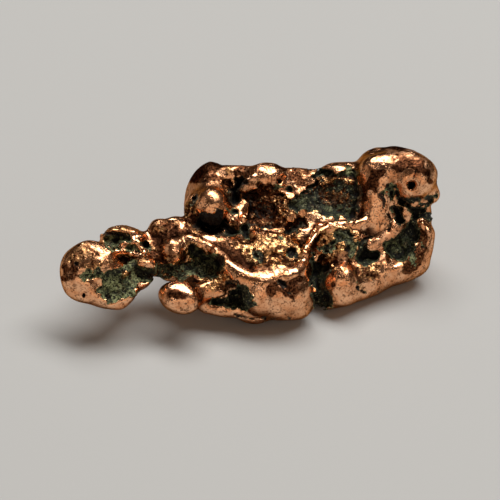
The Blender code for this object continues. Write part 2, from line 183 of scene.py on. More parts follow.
# Regions of the face, each painted over the ones before it: name, how soft its edge is in mm, what
# it sets, outline (u, v). It can set:
#   depth    how far it is sunk, in mm
#   mineral  how much residue is left, 0-1
#   tint     the residue's colour: 0 olive, 1 black-green, 2 umber, 2.3 red-brown, 3 black,
#              which is painted shade in the cave and the crevice
#   brown    how oxidised the metal is: 0 bare, 1 brown, and darker above 1; some regions
#              use it for painted dark reflections and painted shade
#   grain    how crumbly it is, up to about 0.3
#   dull     how unpolished it is: 0 satin, 1 matt, and duller above 1
REGIONS = [
    # paddle
    ("paddle_head_glitter", 0.5, dict(grain=0.11, brown=0.7, dull=0.5),
     [(-22.5, -1.9), (-21.5, -1.0), (-20.3, -0.4), (-19.0, -0.4), (-18.1, -1.2), (-18.0, -2.1),
      (-19.0, -2.7), (-20.0, -2.9), (-21.0, -3.2), (-22.4, -3.0)]),
    ("paddle_tan_facet", 0.3, dict(grain=0.02, brown=0.1, depth=0.0),
     [(-19.0, -3.3), (-18.3, -3.1), (-18.0, -3.4), (-18.5, -4.0), (-19.0, -4.0)]),
    # Painted dark reflection on the lobe's left cheek, set through brown.
    ("paddle_cheek_painted_reflection", 0.6, dict(grain=0.07, brown=0.9, dull=0.5),
     [(-22.9, -3.1), (-21.2, -2.9), (-20.6, -3.8), (-21.0, -4.7), (-21.8, -4.9), (-22.9, -4.6)]),
    ("paddle_brown_band", 0.4, dict(grain=0.13, brown=0.7, dull=0.2),
     [(-21.0, -2.9), (-19.0, -2.7), (-17.8, -2.2), (-16.0, -2.0), (-13.2, -2.2), (-10.8, -2.4),
      (-12.5, -3.0), (-15.0, -2.7), (-17.5, -3.4), (-18.3, -3.2), (-19.0, -3.4), (-20.5, -3.8)]),
    ("paddle_low_cheek", 0.6, dict(grain=0.03, brown=0.2),
     [(-21.8, -5.4), (-19.0, -5.1), (-18.2, -6.2), (-18.4, -7.6), (-19.6, -7.9), (-21.0, -7.2)]),
    ("paddle_face", 0.3, dict(depth=0.35, mineral=1.0, tint=0.0, brown=0.7, grain=0.24),
     [(-20.6, -4.0), (-20.5, -4.9), (-20.0, -5.1), (-18.7, -5.2), (-18.2, -5.9), (-18.5, -6.8),
      (-18.2, -7.3), (-17.8, -7.9), (-17.3, -8.2), (-16.4, -8.1), (-15.6, -7.9), (-14.5, -7.2),
      (-13.9, -6.6), (-13.4, -6.0), (-12.2, -5.7), (-11.2, -5.0), (-9.9, -4.8), (-9.4, -4.2),
      (-10.0, -3.4), (-11.2, -3.1), (-12.5, -2.8), (-14.2, -2.7), (-15.2, -2.5), (-16.0, -2.9),
      (-16.6, -3.3), (-17.5, -3.5), (-18.2, -3.9), (-19.0, -4.0), (-19.6, -3.8), (-20.2, -3.8)]),
    ("paddle_face_dark", 0.8, dict(depth=0.6, tint=1.0, grain=0.28),
     [(-14.6, -2.8), (-11.0, -3.1), (-9.6, -4.0), (-9.8, -4.8), (-11.2, -5.0), (-12.2, -5.7),
      (-13.4, -5.6), (-14.4, -4.8)]),
    ("paddle_face_top", 0.4, dict(tint=0.9),
     [(-19.0, -4.1), (-17.0, -3.7), (-15.2, -2.9), (-14.5, -3.9), (-16.5, -4.2), (-18.4, -4.6)]),
    ("paddle_island", 0.3, dict(depth=0.1, mineral=0.15, brown=0.5, grain=0.2),
     [(-15.8, -4.3), (-15.0, -4.1), (-14.5, -4.4), (-14.8, -4.8), (-15.6, -4.7)]),
    ("paddle_rim", 0.3, dict(grain=0.16, brown=0.55),
     [(-14.4, -7.3), (-13.5, -6.9), (-12.2, -6.1), (-11.6, -5.6), (-12.6, -5.7), (-13.4, -6.0),
      (-14.2, -6.8)]),
    ("paddle_back_top", 0.3, dict(grain=0.09, brown=0.3, dull=0.3),
     [(-18.2, 0.9), (-17.0, 1.6), (-15.5, 1.9), (-13.8, 1.6), (-12.9, 1.2), (-13.2, 0.5), (-14.6, 0.8),
      (-16.5, 0.9)]),
    ("paddle_back_hollow", 0.2, dict(depth=0.75, mineral=0.95, tint=0.45, brown=0.8, grain=0.2),
     [(-18.5, 0.2), (-18.0, 0.6), (-16.9, 0.7), (-15.8, 0.7), (-14.9, 0.8), (-14.8, 0.1), (-15.4, -0.3),
      (-16.2, -0.5), (-17.0, -0.7), (-17.6, -0.9), (-18.3, -0.5)]),
    ("paddle_back_slot", 0.2, dict(depth=0.5, mineral=0.9, tint=0.1, brown=0.7, grain=0.16),
     [(-17.2, -0.9), (-15.5, -0.7), (-14.4, -0.75), (-13.7, -1.3), (-14.5, -1.45), (-17.0, -1.4)]),
    ("paddle_back_nook", 0.2, dict(depth=0.7, mineral=0.85, tint=0.5, brown=0.9, grain=0.3),
     [(-13.6, -0.1), (-12.7, 0.0), (-12.3, -0.8), (-12.5, -1.5), (-13.2, -1.1)]),
    # neck
    ("neck", 0.5, dict(grain=0.12, brown=0.85, dull=0.4),
     [(-12.8, 2.2), (-10.8, 2.8), (-8.4, 3.4), (-7.9, 0.6), (-8.0, -2.0), (-8.3, -3.0), (-10.6, -2.9),
      (-12.0, -2.1), (-12.6, -0.8), (-12.6, 0.4)]),
    ("neck_green", 0.3, dict(depth=0.3, mineral=0.8, tint=0.4),
     [(-12.5, 0.8), (-11.9, 0.9), (-11.0, 0.5), (-11.2, 0.1), (-12.2, 0.1)]),
    ("neck_brown_band", 0.4, dict(depth=0.25, brown=1.0, grain=0.12),
     [(-11.2, 0.8), (-9.4, 0.9), (-8.6, 0.6), (-9.4, 0.2), (-10.8, 0.3)]),
    ("neck_knob_shade", 0.6, dict(depth=0.0, grain=0.04, brown=0.6, dull=0.2, mineral=0.0),
     [(-11.4, -0.3), (-10.4, 0.3), (-8.6, 0.3), (-7.9, -0.6), (-8.1, -2.0), (-9.5, -2.6), (-11.0, -2.0)]),
    ("neck_knob_worn", 0.5, dict(grain=0.0, brown=0.15, dull=0.0),
     [(-10.5, -0.6), (-9.6, -0.2), (-8.7, -0.6), (-8.6, -1.8), (-9.6, -2.3), (-10.5, -1.8)]),
    ("ball_shade", 0.5, dict(brown=1.2, dull=0.1, grain=0.02),
     [(-9.9, -6.4), (-9.2, -6.2), (-8.2, -6.4), (-7.2, -6.2), (-6.4, -6.3), (-6.6, -7.2), (-7.6, -7.7),
      (-8.8, -7.6), (-9.7, -7.2)]),
    ("neck_web", 0.3, dict(depth=0.5, mineral=0.75, tint=0.7, brown=1.0, grain=0.32),
     [(-11.4, -3.3), (-9.6, -3.0), (-8.2, -2.4), (-7.4, -2.5), (-6.8, -3.4), (-7.2, -4.6), (-8.4, -4.7),
      (-10.0, -4.9), (-11.2, -5.1)]),
    # green triangle and the metal below it
    ("triangle_rim", 0.4, dict(grain=0.2, brown=0.6),
     [(-8.3, -0.2), (-7.4, 0.2), (-5.3, -1.0), (-3.2, -2.3), (-2.6, -4.0), (-2.4, -5.4), (-5.4, -5.6),
      (-7.4, -5.0), (-8.4, -3.0)]),
    ("green_triangle", 0.3, dict(depth=0.6, mineral=0.9, tint=0.6, brown=1.0, grain=0.32),
     [(-7.7, -0.5), (-6.9, -0.4), (-6.1, -1.3), (-5.3, -1.5), (-4.4, -1.6), (-3.6, -2.3), (-3.4, -3.0),
      (-3.9, -3.9), (-4.4, -4.3), (-4.9, -5.0), (-6.2, -5.0), (-7.0, -4.4), (-7.5, -3.6), (-7.0, -2.4),
      (-7.8, -1.4)]),
    ("bulge_shade", 0.6, dict(grain=0.05, brown=0.95, dull=0.2),
     [(2.0, -5.3), (3.6, -4.9), (5.0, -4.7), (6.3, -4.4), (6.7, -5.6), (6.5, -6.9), (5.4, -7.5),
      (4.0, -7.1), (2.4, -6.4)]),
    ("below_triangle", 0.5, dict(grain=0.13, brown=0.55),
     [(-5.8, -5.0), (-3.6, -4.3), (-2.0, -4.9), (-1.2, -5.8), (-3.0, -6.4), (-5.6, -6.9), (-6.2, -6.0)]),
    ("front_pocket", 0.25, dict(depth=0.8, mineral=0.95, tint=0.9, brown=1.0, grain=0.3),
     [(-2.9, -6.2), (-2.2, -5.9), (-0.6, -5.9), (-0.3, -6.6), (0.1, -7.2), (0.1, -7.9), (-0.6, -8.6),
      (-1.6, -8.6), (-2.3, -9.0), (-2.6, -8.4), (-3.4, -8.0), (-4.4, -8.3), (-5.6, -8.3), (-5.4, -7.6),
      (-4.4, -7.3), (-3.1, -7.1)]),
    ("front_pocket_rim", 0.4, dict(grain=0.07, brown=0.3),
     [(-6.0, -8.4), (-5.8, -8.9), (-0.8, -9.2), (0.4, -8.8), (0.2, -8.2), (-1.0, -8.8), (-2.4, -9.0),
      (-5.4, -8.6)]),
    # shoulder, crest and the crevice between them
    ("shoulder_dome", 1.0, dict(grain=0.03, brown=0.1, dull=1.1),
     [(-9.0, 3.9), (-8.6, 6.6), (-7.3, 9.0), (-5.6, 10.6), (-3.4, 10.8), (-2.0, 9.8), (-3.2, 8.4),
      (-4.2, 7.3), (-5.6, 6.8), (-6.6, 6.0), (-7.2, 4.6)]),
    # Dark band along the top-left edge: partly oxide, partly a painted dark reflection.
    ("shoulder_band", 0.8, dict(grain=0.03, brown=1.15, dull=0.1),
     [(-8.4, 7.3), (-7.6, 9.6), (-5.6, 11.0), (-3.4, 11.2), (-2.0, 10.2), (-2.6, 8.7), (-4.2, 8.4),
      (-5.6, 7.7), (-6.3, 7.3), (-7.2, 7.1)]),
    ("shoulder_shade", 0.6, dict(grain=0.05, brown=0.9, dull=0.3),
     [(-6.4, 8.2), (-4.4, 8.7), (-3.4, 8.2), (-3.6, 7.0), (-5.0, 6.8), (-6.2, 7.1)]),
    ("shoulder_knob_satin", 0.8, dict(grain=0.0, brown=0.0, dull=0.15),
     [(-6.6, 6.9), (-3.6, 7.0), (-3.0, 4.4), (-4.2, 3.9), (-6.2, 4.0)]),
    ("shoulder_glitter", 0.4, dict(grain=0.16, brown=0.1, dull=0.3),
     [(-4.0, 8.0), (-3.7, 9.0), (-2.7, 9.4), (-2.0, 9.0), (-2.2, 8.0), (-3.0, 7.9)]),
    ("shoulder_strip", 0.3, dict(depth=0.35, grain=0.28, brown=0.9),
     [(-3.7, 8.0), (-2.1, 8.0), (-2.0, 6.4), (-2.4, 5.9), (-3.2, 5.9), (-3.6, 6.6)]),
    ("flank", 0.4, dict(grain=0.2, brown=0.8),
     [(-8.8, 0.3), (-8.5, 3.2), (-8.1, 4.6), (-7.4, 5.6), (-6.8, 5.4), (-6.5, 4.2), (-6.4, 2.6),
      (-6.6, 0.4)]),
    ("flank_slit", 0.15, dict(depth=1.0, mineral=0.9, tint=1.6, brown=1.0),
     [(-7.7, 5.3), (-7.0, 5.5), (-6.6, 5.6), (-6.5, 5.0), (-6.8, 4.4), (-7.6, 4.6), (-7.1, 5.0)]),
    ("crest_brown", 0.5, dict(grain=0.05, brown=1.0, dull=0.4),
     [(-2.6, 9.0), (-1.0, 9.5), (0.6, 9.2), (2.2, 9.9), (4.0, 9.4), (5.0, 8.6), (4.2, 8.4), (3.0, 9.0),
      (1.2, 9.0), (0.0, 8.9), (-1.6, 8.7)]),
    ("crest_rough", 0.4, dict(grain=0.14, brown=1.0, dull=0.5),
     [(4.6, 8.8), (5.4, 9.3), (6.6, 9.2), (8.4, 8.8), (7.6, 8.2), (6.4, 7.4), (5.0, 7.2), (4.4, 7.8)]),
    ("crest_left", 0.5, dict(grain=0.08, brown=0.95, dull=0.3),
     [(-3.2, 8.8), (-1.8, 9.2), (0.4, 9.1), (0.6, 8.2), (-0.4, 7.8), (-2.2, 8.0)]),
    ("crest_under", 0.6, dict(grain=0.07, brown=0.75, dull=0.5),
     [(-1.4, 7.4), (0.2, 7.9), (1.8, 7.5), (3.2, 7.6), (4.4, 7.2), (3.6, 6.0), (0.4, 6.3), (-0.8, 5.8)]),
    ("crest_rib", 0.4, dict(grain=0.15, brown=1.0, dull=0.5),
     [(5.4, 7.8), (7.0, 8.4), (8.0, 7.6), (7.8, 6.2), (6.6, 5.8), (5.6, 6.2)]),
    ("cave_rim", 0.4, dict(grain=0.18, brown=0.85),
     [(-7.0, 0.8), (-6.8, 2.0), (-6.4, 0.9), (-5.4, 0.2), (-2.4, 0.1), (-0.8, -0.4), (-1.0, -1.2),
      (-3.6, -0.9), (-5.6, -0.3), (-6.8, 0.2)]),
    # The cave is filled near black: painted shade of the deep hole under the knob.
    ("cave", 0.2, dict(depth=1.9, mineral=1.0, tint=3.0, brown=1.0, grain=0.26),
     [(-6.5, 3.5), (-6.0, 3.8), (-5.2, 3.5), (-4.6, 3.4), (-4.0, 3.8), (-3.2, 3.9), (-2.9, 3.4),
      (-2.7, 2.6), (-2.6, 2.0), (-2.3, 1.4), (-3.2, 1.1), (-4.0, 1.4), (-5.0, 1.0), (-6.0, 1.5),
      (-6.5, 1.2), (-6.6, 2.2)]),
    ("cave_step", 0.3, dict(depth=0.9, mineral=0.8, tint=2.4, brown=1.0, grain=0.34),
     [(-6.5, 1.4), (-5.8, 1.6), (-5.0, 1.0), (-4.0, 1.4), (-3.2, 1.1), (-2.4, 1.5), (-2.0, 0.9),
      (-2.6, 0.4), (-3.8, 0.2), (-5.0, 0.3), (-5.8, 0.6)]),
    ("cave_gap_left", 0.15, dict(depth=1.4, mineral=0.9, tint=1.0),
     [(-4.6, 0.9), (-3.9, 1.0), (-3.8, 0.4), (-4.5, 0.3)]),
    ("cave_gap_right", 0.15, dict(depth=1.2, tint=1.0),
     [(-3.2, 0.8), (-2.3, 0.7), (-2.5, 0.4), (-3.4, 0.3)]),
    ("crevice_foot", 0.3, dict(depth=0.8, mineral=0.9, tint=1.0, brown=1.0, grain=0.3),
     [(-3.1, 4.1), (-1.2, 4.2), (-0.9, 3.2), (-1.2, 2.7), (-2.0, 3.1), (-2.9, 3.1)]),
    # The crevice is filled near black: painted shade of the deep slit.
    ("crevice", 0.2, dict(depth=1.5, mineral=1.0, tint=2.7, brown=1.0, grain=0.2),
     [(-2.1, 7.9), (-1.0, 7.9), (-0.6, 7.5), (-1.2, 6.9), (-1.5, 6.3), (-1.2, 5.9), (-1.0, 5.2),
      (-1.0, 4.4), (-1.6, 4.1), (-2.3, 4.0), (-2.6, 4.6), (-2.5, 5.6), (-2.4, 6.2), (-2.0, 6.9),
      (-2.0, 7.4)]),
    # the bowls behind the curling ridge
    ("inner_ridge", 0.3, dict(grain=0.14, brown=1.1),
     [(-2.8, 2.9), (-2.3, 3.0), (-1.1, 2.4), (-0.9, 1.6), (-1.3, 0.7), (-1.9, 0.2), (-2.2, 1.2),
      (-2.6, 1.8)]),
    ("bowl", 0.5, dict(grain=0.14, brown=0.55, dull=0.1),
     [(-1.6, 0.4), (-2.8, -0.9), (-2.4, -2.6), (0.0, -3.9), (3.0, -4.0), (6.0, -3.3), (6.9, -0.8),
      (7.2, 1.0), (4.0, 1.4), (0.0, 1.4)]),
    ("bowl_slope", 0.5, dict(grain=0.06, brown=0.75, dull=0.7),
     [(-6.6, -0.1), (-5.4, 0.3), (-2.6, 0.0), (-1.2, -1.4), (0.2, -2.8), (3.0, -3.2), (5.6, -2.9),
      (6.0, -3.6), (3.0, -4.1), (0.0, -4.1), (-2.2, -3.1), (-3.0, -2.0), (-4.4, -1.0)]),
    ("bowl_crumbs", 0.4, dict(grain=0.22, brown=0.35, mineral=0.3, tint=1.4),
     [(0.0, -0.9), (1.0, -0.4), (1.8, -1.2), (1.2, -2.2), (2.4, -2.6), (4.6, -2.4), (5.4, -1.6),
      (4.8, -0.9), (6.4, -0.6), (6.2, -2.6), (3.0, -3.2), (0.4, -2.4)]),
    ("bowl_dark_patch", 0.3, dict(mineral=0.85, tint=0.8, depth=0.25),
     [(0.2, -0.8), (1.0, -0.7), (1.6, -1.4), (1.9, -2.2), (1.2, -2.7), (0.3, -2.4), (0.5, -1.6)]),
    ("bowl_dark_spot", 0.25, dict(mineral=0.85, tint=0.6, depth=0.2),
     [(4.8, -1.3), (5.3, -1.3), (5.5, -1.9), (4.9, -2.0)]),
    ("middle_bowl", 0.3, dict(depth=0.5, mineral=0.2, tint=2.3, brown=1.0, grain=0.24),
     [(-0.9, 5.9), (-0.2, 6.0), (0.4, 6.6), (1.0, 7.1), (2.9, 7.0), (4.2, 6.1), (4.9, 5.6), (5.2, 4.4),
      (4.9, 3.2), (6.8, 2.9), (7.3, 2.2), (6.9, 1.2), (4.6, 0.9), (3.6, 1.2), (1.4, 1.2), (0.4, 0.8),
      (-0.1, 1.6), (-0.9, 2.2), (-0.3, 3.0), (-1.0, 4.0)]),
    ("bowl_shade", 0.6, dict(depth=0.9, brown=1.1, mineral=0.4, tint=2.5, grain=0.24),
     [(-1.0, 5.8), (0.8, 5.6), (1.1, 4.8), (2.4, 4.5), (3.4, 4.2), (3.5, 2.8), (3.3, 2.0), (1.0, 2.2),
      (0.2, 2.6), (-0.4, 3.3), (-1.0, 4.2)]),
    ("bowl_rib", 0.3, dict(depth=0.3, brown=0.75, mineral=0.15, tint=1.5, grain=0.26),
     [(3.6, 5.4), (4.6, 5.9), (5.2, 4.9), (5.4, 3.4), (4.9, 2.1), (3.8, 1.9), (3.6, 3.4)]),
    ("bowl_pale_grains", 0.3, dict(depth=0.3, mineral=0.85, tint=0.2, grain=0.28),
     [(3.0, 6.8), (3.6, 7.2), (4.5, 6.9), (4.3, 6.3), (3.3, 6.1)]),
    ("bowl_gap", 0.15, dict(depth=1.0, mineral=0.95, tint=1.0, brown=1.0),
     [(-1.3, 1.2), (-0.9, 2.2), (-0.2, 2.2), (0.1, 1.6), (0.0, 0.9), (0.2, 0.0), (-0.4, -0.3),
      (-1.2, 0.1)]),
    ("bowl_line", 0.12, dict(depth=0.7, mineral=0.8, tint=1.0),
     [(1.0, 1.6), (2.0, 1.3), (3.0, 1.5), (3.0, 1.7), (1.2, 1.8)]),
    ("bowl_green", 0.2, dict(depth=0.15, mineral=1.0, tint=0.1, grain=0.14),
     [(1.0, 0.9), (1.6, 1.1), (2.6, 1.0), (3.4, 0.7), (4.0, 0.3), (3.5, 0.2), (2.7, 0.3), (1.9, 0.5),
      (1.1, 0.4)]),
    ("bowl_green_spot", 0.2, dict(depth=0.1, mineral=0.85, tint=0.2),
     [(1.0, 1.0), (1.6, 1.0), (1.6, 0.5), (1.1, 0.5)]),
    ("bowl_notch", 0.2, dict(depth=0.9, mineral=0.9, tint=1.0, brown=1.0, grain=0.2),
     [(4.7, 1.0), (5.0, 1.8), (5.8, 2.0), (6.5, 2.3), (6.8, 1.7), (6.0, 1.1)]),
    ("rib_hollow", 0.2, dict(depth=0.9, mineral=0.9, tint=0.9, brown=1.0, grain=0.2),
     [(4.5, 6.9), (5.4, 6.7), (6.0, 6.3), (5.9, 5.7), (5.2, 5.5), (4.8, 6.0)]),
    # panel
    ("panel_rim", 0.4, dict(grain=0.14, brown=0.85, dull=0.2),
     [(4.8, 5.6), (5.9, 5.6), (6.0, 4.4), (5.6, 3.6), (6.6, 3.2), (8.4, 2.9), (8.6, 2.1), (7.0, 2.2),
      (5.2, 3.0)]),
    ("panel", 0.25, dict(depth=0.75, mineral=0.7, tint=0.9, brown=0.95, grain=0.2),
     [(5.3, 4.4), (5.1, 5.4), (5.2, 6.2), (6.3, 6.4), (6.8, 7.3), (7.3, 7.9), (8.1, 8.5), (9.0, 8.9),
      (10.6, 8.7), (11.4, 8.9), (12.0, 9.1), (13.2, 9.1), (13.7, 8.6), (13.8, 7.0), (13.8, 5.0),
      (13.5, 3.7), (13.1, 2.8), (12.3, 2.5), (11.0, 2.4), (9.6, 2.4), (8.7, 2.8), (7.4, 3.1), (6.5, 3.3),
      (5.8, 3.6)]),
    ("panel_green", 0.5, dict(mineral=1.0, tint=0.9, grain=0.16),
     [(5.3, 4.2), (5.2, 6.0), (6.8, 5.9), (8.4, 5.8), (8.8, 5.0), (8.4, 4.0), (8.7, 3.0), (7.4, 3.2),
      (6.0, 3.5)]),
    ("panel_brown", 0.8, dict(mineral=0.6, tint=1.6, grain=0.18, brown=0.6),
     [(8.5, 6.4), (11.4, 6.3), (12.8, 5.6), (12.8, 4.4), (11.4, 3.9), (8.9, 4.3)]),
    ("panel_olive", 0.6, dict(mineral=0.95, tint=0.45, grain=0.22),
     [(8.9, 4.1), (12.6, 4.1), (12.6, 2.6), (9.2, 2.4)]),
    ("panel_edge_green", 0.4, dict(depth=1.0, mineral=1.0, tint=0.9),
     [(12.9, 7.0), (13.7, 6.8), (13.7, 4.6), (13.2, 3.2), (12.7, 2.7), (12.4, 3.2), (12.9, 4.6)]),
    ("panel_top", 0.3, dict(depth=0.45, mineral=0.3, tint=1.8, brown=0.6, grain=0.2),
     [(8.0, 7.9), (9.6, 8.3), (11.6, 8.2), (13.4, 8.0), (13.6, 7.3), (12.4, 7.0), (11.0, 7.2), (9.6, 6.4),
      (8.0, 6.1), (7.6, 6.6)]),
    ("panel_cave", 0.2, dict(depth=1.5, mineral=0.95, tint=1.1, brown=1.0),
     [(6.7, 7.4), (7.2, 7.9), (8.1, 8.5), (8.8, 9.0), (9.8, 9.0), (10.6, 8.7), (10.3, 8.4), (9.0, 8.2),
      (8.1, 8.1), (7.7, 7.5), (7.0, 7.2)]),
    ("panel_pale_green", 0.25, dict(depth=0.5, mineral=1.0, tint=0.3, grain=0.14),
     [(11.5, 8.9), (12.6, 9.0), (13.5, 8.6), (13.5, 8.1), (12.2, 8.1)]),
    # cap, column and tongue
    ("column_edge", 0.5, dict(grain=0.04, brown=1.0, dull=0.4),
     [(13.5, 9.2), (14.4, 9.0), (14.7, 6.0), (14.4, 3.4), (13.9, 2.2), (13.0, 2.4), (13.6, 4.0),
      (13.9, 6.4)]),
    ("panel_wall", 0.3, dict(mineral=0.75, tint=1.9),
     [(13.0, 9.0), (13.9, 8.9), (14.1, 6.0), (13.9, 3.4), (13.4, 2.3), (12.8, 2.6), (13.2, 4.0),
      (13.4, 6.4)]),
    # Dark rim along the cap's top edge: partly oxide, partly a painted dark reflection.
    ("cap_rim", 0.6, dict(grain=0.02, brown=1.3, dull=0.1),
     [(13.5, 9.6), (13.9, 10.5), (14.8, 11.5), (16.8, 12.4), (19.6, 12.2), (21.4, 11.3), (20.8, 10.9),
      (19.2, 11.3), (17.4, 11.4), (15.6, 11.1), (14.6, 10.3), (14.2, 9.4)]),
    ("cap_roll_rough", 0.5, dict(grain=0.06, brown=0.5, dull=0.9),
     [(17.2, 9.6), (17.0, 11.2), (18.4, 11.2), (20.0, 10.9), (22.0, 9.8), (23.4, 7.6), (22.6, 6.8),
      (21.6, 8.0), (19.8, 9.0), (17.9, 9.4)]),
    # Painted dark reflection in an arc below the cap's highlight, set through brown.
    ("cap_painted_reflection_arc", 0.6, dict(grain=0.04, brown=1.3, dull=0.2),
     [(13.9, 7.5), (14.6, 8.4), (15.6, 8.8), (16.6, 9.2), (17.8, 9.8), (19.4, 10.2), (21.0, 9.9),
      (22.1, 9.2), (22.9, 8.2), (23.2, 7.1), (22.2, 6.8), (21.4, 7.6), (20.8, 8.2), (19.6, 8.5),
      (18.2, 8.4), (17.0, 7.9), (16.0, 7.1), (15.4, 6.2), (14.2, 6.0)]),
    ("knuckle_nook", 0.25, dict(depth=0.5, mineral=0.95, tint=0.6, brown=0.9, grain=0.24),
     [(17.0, 6.9), (17.7, 7.1), (18.3, 6.4), (18.2, 5.5), (17.7, 5.2), (17.1, 5.6), (16.9, 6.2)]),
    ("right_recess", 0.2, dict(depth=0.9, mineral=1.0, tint=1.0, brown=1.0, grain=0.22),
     [(23.3, 5.4), (23.0, 4.3), (22.8, 3.2), (22.3, 2.4), (21.5, 2.2), (21.2, 1.2), (21.2, 0.2),
      (21.1, -0.9), (20.2, -1.5), (19.7, -2.3), (18.9, -2.9), (18.1, -2.9), (17.4, -2.6), (16.9, -1.9),
      (16.4, -1.2), (16.9, -0.5), (17.8, 0.2), (18.6, 0.8), (19.3, 1.4), (19.7, 2.3), (19.8, 3.1),
      (19.5, 3.8), (18.4, 4.6), (18.3, 5.5), (19.0, 5.2), (19.8, 4.9), (20.6, 4.75), (21.3, 4.75),
      (22.0, 5.0), (22.7, 5.5)]),
    ("recess_patch", 0.3, dict(depth=0.5, mineral=0.25, tint=1.6, brown=0.9, grain=0.22),
     [(18.4, 4.4), (19.3, 4.3), (19.6, 3.6), (19.6, 3.0), (19.0, 3.1), (18.5, 3.5)]),
    ("recess_foot", 0.6, dict(mineral=0.85, tint=0.3, grain=0.28),
     [(16.4, -1.2), (17.0, -0.4), (18.0, 0.2), (19.0, 0.2), (19.8, -0.8), (19.6, -2.0), (18.9, -2.9),
      (17.6, -2.7)]),
    ("recess_nook", 0.2, dict(depth=1.0, mineral=0.9, tint=1.0, brown=1.0, grain=0.2),
     [(18.3, 2.9), (19.0, 3.1), (19.6, 2.8), (19.5, 2.3), (18.9, 2.0), (18.5, 2.3)]),
    ("column_nook", 0.2, dict(depth=0.7, mineral=0.9, tint=1.0, brown=1.0, grain=0.2),
     [(17.8, 3.9), (18.4, 4.0), (18.5, 3.6), (18.1, 3.4)]),
    ("right_rim", 0.4, dict(grain=0.13, brown=1.0, dull=0.8),
     [(21.2, 1.5), (21.8, 1.6), (22.3, 0.2), (22.6, -1.2), (22.3, -2.6), (21.3, -3.5), (19.6, -4.2),
      (18.8, -4.4), (18.2, -3.6), (18.3, -3.0), (19.4, -2.6), (20.0, -1.2), (20.9, 0.0)]),
    ("recess_lip", 0.4, dict(grain=0.12, brown=1.0, dull=0.7),
     [(16.4, -2.6), (17.6, -3.0), (19.0, -3.2), (19.8, -2.6), (20.4, -3.2), (19.2, -4.0), (17.4, -3.8),
      (16.2, -3.2)]),
    ("right_rim_green", 0.4, dict(mineral=0.75, tint=0.4, depth=0.2),
     [(19.9, -1.9), (20.6, -1.8), (20.8, -2.6), (20.1, -3.0)]),
    ("right_rim_nook", 0.3, dict(mineral=0.8, tint=1.0, depth=0.4),
     [(21.2, -0.2), (21.9, -0.2), (22.1, -0.9), (21.5, -1.2)]),
    ("tongue_worn", 0.4, dict(grain=0.0, brown=0.1, dull=1.4),
     [(19.3, 1.6), (18.4, 1.6), (17.0, 0.7), (15.6, 0.1), (14.9, -0.4), (15.0, -1.1), (15.9, -1.1),
      (16.9, -0.4), (18.0, 0.4), (19.0, 1.0)]),
    # lower right
    ("lower_right", 0.5, dict(grain=0.18, brown=0.5),
     [(8.2, -0.2), (8.9, 1.0), (12.0, 1.6), (14.0, 0.9), (13.4, -1.2), (12.9, -3.8), (12.2, -4.3),
      (9.8, -4.2), (9.4, -2.8)]),
    ("furrow", 0.3, dict(depth=0.45, mineral=0.9, tint=0.8, brown=1.0, grain=0.28),
     [(7.9, -0.8), (9.0, -0.8), (9.8, -0.1), (10.5, 0.5), (11.4, 0.7), (12.4, 1.0), (13.0, 0.6),
      (12.4, 0.1), (11.6, -0.4), (11.0, -0.7), (10.6, -1.6), (9.8, -1.7), (9.0, -1.5), (8.0, -1.4)]),
    ("furrow_right", 0.25, dict(depth=0.35, mineral=0.8, tint=0.3, brown=1.0, grain=0.26),
     [(12.2, -1.0), (12.9, -1.0), (13.0, -1.8), (12.6, -2.4), (12.1, -2.0)]),
    ("flow_lines", 0.3, dict(grain=0.05, brown=0.5, dull=0.3),
     [(10.8, -1.4), (12.2, -1.3), (12.6, -3.6), (11.2, -3.9), (10.6, -3.0)]),
    ("eye_pocket", 0.2, dict(depth=1.0, mineral=1.0, tint=0.95, brown=1.0, grain=0.12),
     [(13.3, -3.0), (13.1, -2.2), (13.6, -1.6), (14.0, -1.2), (13.9, -0.6), (14.0, 0.0), (14.6, 0.1),
      (15.2, 0.3), (14.9, -0.3), (14.7, -0.9), (15.0, -1.4), (15.7, -1.8), (16.0, -2.1), (15.6, -2.6),
      (14.9, -2.9), (14.2, -3.1)]),
    ("below_pocket", 0.4, dict(grain=0.14, brown=0.75, dull=0.3),
     [(13.0, -3.1), (14.4, -3.1), (15.6, -2.6), (16.6, -2.4), (17.4, -2.9), (16.6, -3.9), (15.4, -4.4),
      (14.6, -5.1), (13.4, -4.8), (13.0, -4.0)]),
    ("pocket_bridge", 0.3, dict(grain=0.03, brown=0.6, dull=1.6),
     [(15.6, -1.7), (16.3, -1.1), (17.0, -1.9), (17.4, -2.8), (16.4, -3.2), (15.8, -2.6)]),
    # Painted shade over a bright reflection on the swell's edge by the crack, set through brown.
    ("crack_side_painted_shade", 0.4, dict(brown=1.1, dull=0.8),
     [(9.8, -3.6), (10.7, -3.8), (10.8, -5.4), (10.4, -6.2), (9.8, -6.2)]),
    ("keel_scars", 0.5, dict(grain=0.09, brown=0.45),
     [(12.6, -5.2), (12.7, -6.8), (13.4, -7.0), (15.0, -6.7), (16.4, -6.3), (16.0, -5.8), (14.6, -5.6),
      (13.6, -5.1)]),
    ("keel_pit", 0.25, dict(depth=0.6, mineral=0.95, tint=0.9, brown=1.0, grain=0.2),
     [(12.9, -5.5), (13.4, -5.3), (13.6, -6.0), (13.4, -6.6), (12.9, -6.4), (12.7, -6.0)]),
    ("crack", 0.2, dict(depth=1.0, mineral=0.95, tint=1.0, brown=1.0, grain=0.28),
     [(8.0, -1.1), (7.4, -1.8), (7.4, -2.5), (7.9, -3.1), (8.1, -3.8), (7.7, -4.6), (7.5, -5.6),
      (7.8, -6.6), (7.9, -7.4), (8.1, -8.2), (8.3, -9.1), (9.3, -9.1), (9.6, -8.4), (10.2, -8.2),
      (10.3, -7.2), (10.1, -6.6), (9.9, -6.0), (9.9, -5.2), (10.0, -4.3), (10.0, -3.6), (9.3, -2.9),
      (8.3, -2.9), (8.0, -2.0), (8.6, -1.2)]),
    ("crack_bank", 0.3, dict(depth=0.5, mineral=0.2, tint=1.8, brown=0.9, grain=0.26),
     [(8.2, -1.8), (9.2, -1.7), (9.3, -2.8), (8.5, -2.8)]),
]

